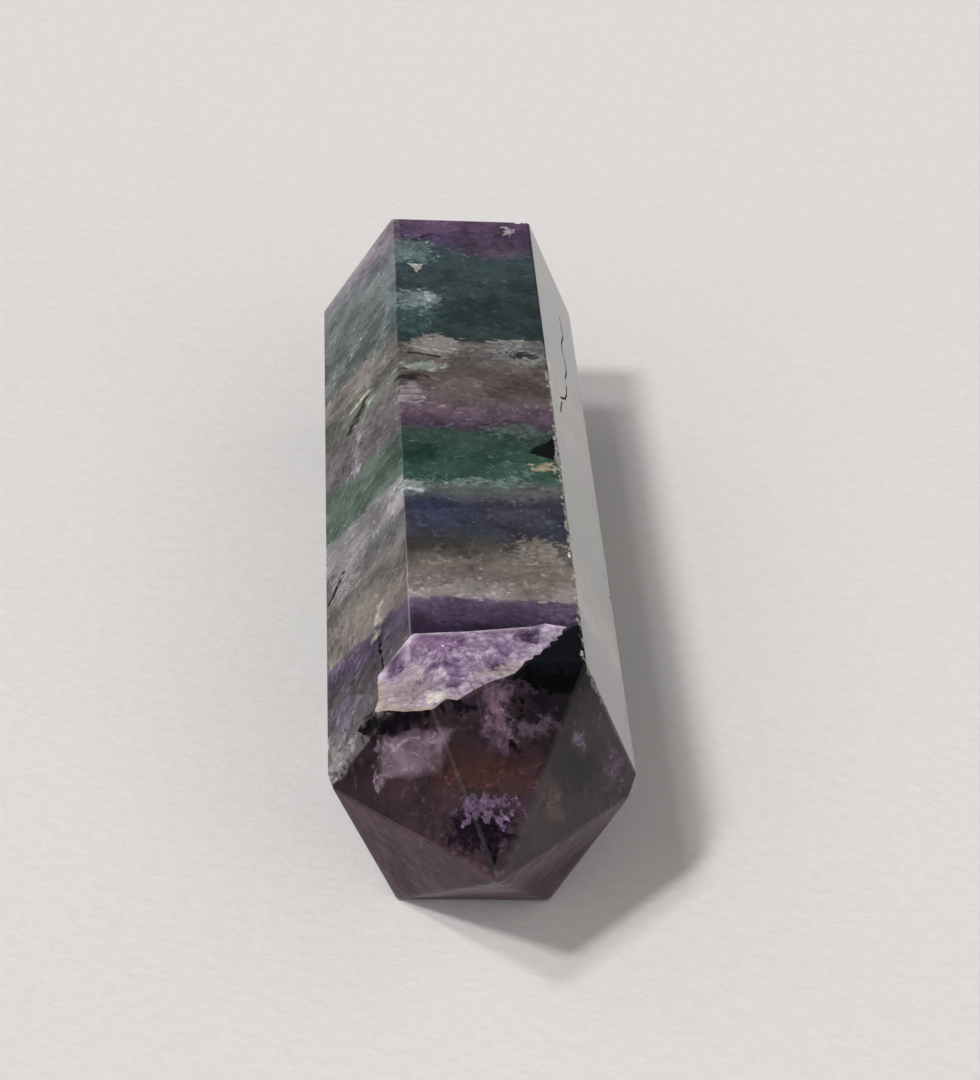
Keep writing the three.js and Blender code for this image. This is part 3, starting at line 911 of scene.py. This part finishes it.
def far_flaws(planes):
    """Whitish flakes in the teal zone and its purple end."""
    flaws = Flaws(planes, 23)
    flaws.crumbs((-3.0, 33.6, 16.5), (1.4, 2.2, 0), 40, (0.05, 0.42))
    flaws.crumbs((-2.8, 25.4, 16.5), (1.5, 1.8, 0), 60, (0.05, 0.45))
    flaws.crumbs((-2.9, 22.2, 16.5), (1.5, 2.4, 0), 26, (0.05, 0.3))
    flaws.fibres((-2.5, 24.4, 16.5), (-2.2, 21.0, 16.5), 0.25, 7, (0.25, 0.6))
    flaws.fibres((-2.6, 34.2, 16.5), (-1.8, 33.0, 16.5), 0.08, 6, (0.2, 0.4))
    flaws.crumbs((4.4, 38.6, 16.4), (0.7, 1.0, 0), 12, (0.1, 0.35))
    flaws.crumbs((3.7, 33.4, 16.4), (0.5, 0.5, 0), 4, (0.08, 0.22))
    flaws.crumbs((3.5, 28.3, 16.4), (0.3, 0.4, 0), 3, (0.08, 0.2))
    flaws.crumbs((-3.6, 37.4, 16.4), (1.4, 0.8, 0), 12, (0.06, 0.25))
    flaws.crumbs((0.0, 28.0, 16.3), (5.0, 12.0, 0), 26, (0.04, 0.12))
    material = flaw_material("fluorite_far_flaw", (120, 140, 142), (214, 216, 214), 1.7, 0.4)
    flaws.finish("far_flaws", material)


def veil_flaws(planes):
    """Ledges and flakes along the first healed crack, and the row of specks in the mauve zone."""
    flaws = Flaws(planes, 29)
    flaws.sheet((-2.9, 14.4, 16.45), (1.7, 0.3, 0), (0, 0.28, 0.1), squareness=2.5, ragged=0.7, ripple=0.25)
    flaws.sheet((-2.6, 13.6, 16.45), (1.5, 0.2, 0), (0, 0.2, 0.1), squareness=2.5, ragged=0.7, ripple=0.25)
    flaws.fibres((-1.6, 15.2, 16.5), (5.4, 19.0, 16.5), 0.5, 34, (0.2, 0.7))
    flaws.fibres((3.1, 17.0, 16.5), (5.2, 16.8, 16.5), 0.25, 14, (0.2, 0.5))
    flaws.fibres((3.2, 15.4, 16.5), (5.0, 15.2, 16.5), 0.2, 12, (0.2, 0.45))
    flaws.crumbs((-2.2, 18.2, 16.5), (1.8, 0.9, 0), 26, (0.05, 0.3))
    flaws.crumbs((1.5, 16.6, 16.5), (4.0, 2.6, 0), 60, (0.04, 0.2))
    flaws.crumbs((-3.9, 9.0, 16.5), (0.9, 2.0, 0), 22, (0.06, 0.3))
    flaws.crumbs((3.5, 7.3, 16.5), (2.4, 0.6, 0), 40, (0.05, 0.26))
    flaws.fibres((-2.6, 4.2, 16.5), (-1.2, 5.0, 16.5), 0.05, 4, (0.2, 0.4))
    flaws.crumbs((0.5, 8.0, 16.4), (4.5, 4.0, 0), 30, (0.04, 0.13))
    material = flaw_material("fluorite_ledge", (130, 124, 122), (216, 210, 206), 1.0, 0.4)
    flaws.finish("pale_flaws", material)


def middle_flaws(planes):
    """Flakes in the green zone, along the second healed crack and in the blue zone."""
    flaws = Flaws(planes, 31)
    flaws.crumbs((3.4, -1.4, 16.5), (2.4, 1.6, 0), 70, (0.05, 0.36))
    flaws.crumbs((0.4, -3.4, 16.5), (5.2, 0.7, 0), 90, (0.05, 0.34))
    flaws.crumbs((-4.1, -4.6, 16.5), (1.0, 0.9, 0), 40, (0.08, 0.42))
    flaws.fibres((-4.6, -3.9, 16.5), (-3.0, -4.4, 16.5), 0.2, 10, (0.25, 0.6))
    flaws.crumbs((-4.1, 2.6, 16.5), (0.6, 0.6, 0), 14, (0.06, 0.3))
    flaws.crumbs((3.3, 3.6, 16.5), (2.2, 1.4, 0), 30, (0.05, 0.3))
    flaws.crumbs((4.9, -1.6, 16.5), (0.9, 0.6, 0), 16, (0.06, 0.25))
    material = flaw_material("fluorite_green_flaw", (130, 146, 140), (216, 220, 216), 1.1, 0.4)
    flaws.finish("green_flaws", material)
    sparks = Flaws(planes, 37)
    sparks.crumbs((2.6, -8.4, 16.4), (2.8, 4.2, 0), 60, (0.05, 0.2))
    sparks.crumbs((-1.0, -9.0, 16.4), (3.4, 4.5, 0), 40, (0.04, 0.14))
    sparks.crumbs((-1.9, -8.2, 16.4), (0.9, 0.8, 0), 14, (0.06, 0.3))
    material = flaw_material("fluorite_spark", (140, 142, 148), (216, 216, 220), 1.8, 0.4)
    sparks.finish("sparkles", material)


def cream_flaws(planes):
    """The cream cloud before the deep purple zone."""
    flaws = Flaws(planes, 41)
    flaws.crumbs((3.4, -13.6, 16.4), (1.9, 2.2, 0), 60, (0.06, 0.36))
    flaws.crumbs((0.5, -17.8, 16.4), (4.6, 1.9, 0), 130, (0.06, 0.34))
    flaws.crumbs((4.9, -21.8, 16.4), (0.9, 1.2, 0), 16, (0.05, 0.18))
    material = flaw_material("fluorite_cloud", (122, 110, 104), (196, 186, 180), 0.8, 0.7)
    flaws.finish("cream_cloud", material)


def left_flaws(planes):
    """Flakes, crumbs and fibres under the left face."""
    flaws = Flaws(planes, 43)
    flaws.crumbs((-7.0, 37.0, 12.8), (1.6, 1.0, 2.6), 30, (0.05, 0.3), LEFT_FACE)
    flaws.crumbs((-7.6, 32.0, 12.0), (1.5, 5.0, 2.4), 8, (0.06, 0.16), LEFT_FACE)
    flaws.fibres((-6.5, 17.6, 13.9), (-9.2, 20.3, 9.5), 0.5, 30, (0.3, 0.8), LEFT_FACE)
    flaws.fibres((-6.6, 16.2, 13.7), (-8.6, 17.9, 10.4), 0.2, 22, (0.3, 0.8), LEFT_FACE)
    flaws.crumbs((-7.6, 9.2, 12.2), (0.5, 2.8, 0.8), 70, (0.06, 0.34), LEFT_FACE)
    flaws.crumbs((-5.9, -5.6, 15.0), (0.9, 1.2, 1.6), 50, (0.06, 0.32), LEFT_FACE)
    flaws.crumbs((-7.9, -5.6, 11.8), (1.1, 3.0, 1.9), 130, (0.06, 0.4), LEFT_FACE)
    flaws.fibres((-8.4, -10.0, 11.0), (-8.8, -17.6, 10.2), 0.55, 36, (0.4, 1.2), LEFT_FACE)
    flaws.fibres((-9.2, -10.0, 9.6), (-9.4, -18.0, 9.4), 0.3, 24, (0.4, 1.2), LEFT_FACE)
    flaws.crumbs((-7.4, -14.6, 12.6), (1.6, 2.4, 2.4), 46, (0.05, 0.3), LEFT_FACE)
    flaws.fibres((-7.8, -22.4, 12.0), (-8.8, -26.6, 10.4), 0.12, 14, (0.4, 0.9), LEFT_FACE)
    flaws.fibres((-9.2, -24.0, 9.6), (-9.2, -28.4, 9.4), 0.3, 22, (0.4, 1.0), LEFT_FACE)
    flaws.crumbs((-9.0, -28.4, 9.6), (0.5, 0.9, 0.7), 30, (0.06, 0.26), LEFT_FACE)
    material = flaw_material("fluorite_left_flaw", (120, 116, 120), (206, 200, 198), 0.9, 0.4)
    flaws.finish("left_flaws", material)


def tip_growth(planes):
    """A block and a column of mauve growth inside the tip."""
    flaws = Flaws(planes, 47)
    flaws.fibres((0.2, -30.0, 15.6), (0.4, -32.6, 13.9), 0.45, 24, (0.3, 0.8), TIP_TOP)
    flaws.fibres((-6.4, -30.2, 11.9), (-6.6, -31.2, 10.0), 0.15, 10, (0.2, 0.6), TIP_LEFT)
    flaws.crumbs((-4.2, -32.2, 12.4), (2.2, 1.4, 1.6), 40, (0.05, 0.3), TIP_LEFT)
    flaws.crumbs((3.0, -31.8, 14.4), (1.6, 0.8, 0.6), 34, (0.05, 0.3), TIP_TOP)
    material = flaw_material("fluorite_mauve", (110, 90, 104), (176, 152, 168), 0.7, 0.5)
    flaws.finish("mauve_growth", material)


def tip_druse(planes):
    """A druse of small purple crystals near the end of the tip."""
    flaws = Flaws(planes, 53)
    flaws.cubes((-0.5, -36.5, 10.1), (2.3, 1.5, 1.5), 230, (0.08, 0.4))
    flaws.crumbs((0.4, -36.0, 11.4), (0.6, 0.7, 0.6), 26, (0.05, 0.22), TIP_TOP)
    flaws.crumbs((-2.0, -36.4, 9.4), (0.9, 0.8, 0.8), 22, (0.05, 0.22), TIP_LEFT)
    flaws.crumbs((1.2, -37.2, 10.5), (0.4, 0.5, 0.4), 8, (0.06, 0.24), TIP_TOP)
    material = flaw_material("fluorite_druse", (52, 36, 58), (190, 160, 196), 0.8, 0.5)
    flaws.finish("druse", material)


def tip_frost(planes):
    """Pale flakes at the shoulders of the tip."""
    flaws = Flaws(planes, 61)
    flaws.crumbs((5.7, -30.8, 13.1), (0.8, 0.5, 0.7), 24, (0.06, 0.3), TIP_RIGHT)
    flaws.crumbs((6.9, -28.8, 14.0), (0.9, 0.35, 1.5), 34, (0.06, 0.26), TIP_RIGHT)
    flaws.crumbs((4.0, -31.0, 14.6), (1.0, 1.0, 1.0), 16, (0.04, 0.16), TIP_TOP)
    flaws.fibres((-8.4, -29.0, 10.2), (-8.2, -30.1, 9.2), 0.12, 10, (0.2, 0.5), TIP_LEFT)
    material = flaw_material("fluorite_frost", (130, 126, 140), (196, 194, 204), 1.0, 0.4)
    flaws.finish("frost", material)


def tip_stain(planes):
    """Brown crumbs across the middle of the tip."""
    flaws = Flaws(planes, 59)
    flaws.crumbs((-0.6, -34.2, 12.8), (2.6, 1.2, 1.2), 60, (0.05, 0.3), TIP_TOP)
    flaws.crumbs((-4.4, -33.2, 10.4), (1.6, 1.2, 1.2), 34, (0.05, 0.26), TIP_LEFT)
    flaws.crumbs((4.3, -34.2, 10.8), (1.4, 1.2, 1.2), 34, (0.05, 0.26), TIP_RIGHT)
    material = flaw_material("fluorite_stain", (96, 70, 58), (140, 108, 92), 0.8, 0.5)
    flaws.finish("brown_stain", material)


def paper_material():
    """Pale paper with a fine grain, painted grey far from the crystal as a painted falloff of the light."""
    paint = Paint("paper")
    fibres = paint.noise(paint.place, 1.0, detail=2.0, roughness=0.7).outputs[0]
    paint.colour = paint.ramp(fibres, ((0.3, linear(236, 233, 231)), (0.7, linear(241, 238, 237))))
    away = paint.vector("LENGTH", paint.place)
    # painted falloff of the light: the paper greys with distance from the crystal
    paint.lay((120, 117, 116), paint.fade(away, *PAINTED_FALLOFF))
    bump = paint.bump(fibres, FIBRE_RELIEF, 0.25)
    sockets = {"Base Color": paint.colour, "Roughness": 0.85, "Specular IOR Level": 0.3, "Normal": bump}
    paint.end(paint.principled(sockets))
    return paint.material


def paper_floor():
    mesh = bpy.data.meshes.new("paper_floor")
    signs = ((-1, -1), (1, -1), (1, 1), (-1, 1))
    corners = [(x * FLOOR_HALF, y * FLOOR_HALF, -FLOOR_DROP) for x, y in signs]
    mesh.from_pydata(corners, [], [(0, 1, 2, 3)])
    mesh.materials.append(paper_material())
    floor = new_object("paper_floor", mesh)


def lamp(name, source, power, width):
    """A soft sun that shines from source."""
    light = bpy.data.lights.new(name, "SUN")
    light.energy = power
    light.angle = width
    item = new_object(name, light)
    item.rotation_mode = "QUATERNION"
    item.rotation_quaternion = source.to_track_quat("Z", "Y")


def room_light():
    """Soft light, mostly from behind the camera, with a dark ceiling, far side and ends."""
    world = bpy.data.worlds.new("room")
    world.use_nodes = True
    bpy.context.scene.world = world
    graph = Graph(world.node_tree)
    direction = graph.add("ShaderNodeTexCoord").outputs["Generated"]
    x, y, z = graph.split(direction)
    ceiling = graph.fade(z, 0.5, 0.9, 1.0, DIM)
    far_side = graph.fade(y, 0.25, 0.75, 1.0, DIM)
    ends = graph.fade(graph.math("ABSOLUTE", x), 0.6, 0.9, 1.0, DIM)
    walls = graph.math("MULTIPLY", far_side, ends)
    strength = graph.math("MULTIPLY", graph.math("MULTIPLY", ceiling, walls), ROOM_LIGHT)
    background = graph.add("ShaderNodeBackground", {"Color": ROOM_COLOUR, "Strength": strength})
    graph.add("ShaderNodeOutputWorld", {"Surface": background.outputs[0]})


def camera():
    lens = bpy.data.cameras.new("camera")
    lens.lens = LENS
    lens.sensor_width = 36
    lens.clip_start = 0.01
    item = new_object("camera", lens)
    item.location = CAMERA_PLACE
    item.rotation_mode = "QUATERNION"
    looking = (CAMERA_AIM - CAMERA_PLACE).to_track_quat("-Z", "Y")
    item.rotation_quaternion = looking @ Quaternion((0, 0, 1), CAMERA_ROLL)
    bpy.context.scene.camera = item


camera()
skin_planes = crystal_piece()
cross_veils(skin_planes)
far_flaws(skin_planes)
veil_flaws(skin_planes)
middle_flaws(skin_planes)
cream_flaws(skin_planes)
left_flaws(skin_planes)
tip_growth(skin_planes)
tip_druse(skin_planes)
tip_frost(skin_planes)
tip_stain(skin_planes)
paper_floor()
lamp("main_lamp", MAIN_FROM, MAIN_POWER, MAIN_WIDTH)
lamp("second_lamp", SECOND_FROM, SECOND_POWER, SECOND_WIDTH)
room_light()
bpy.context.scene.view_settings.view_transform = "Standard"
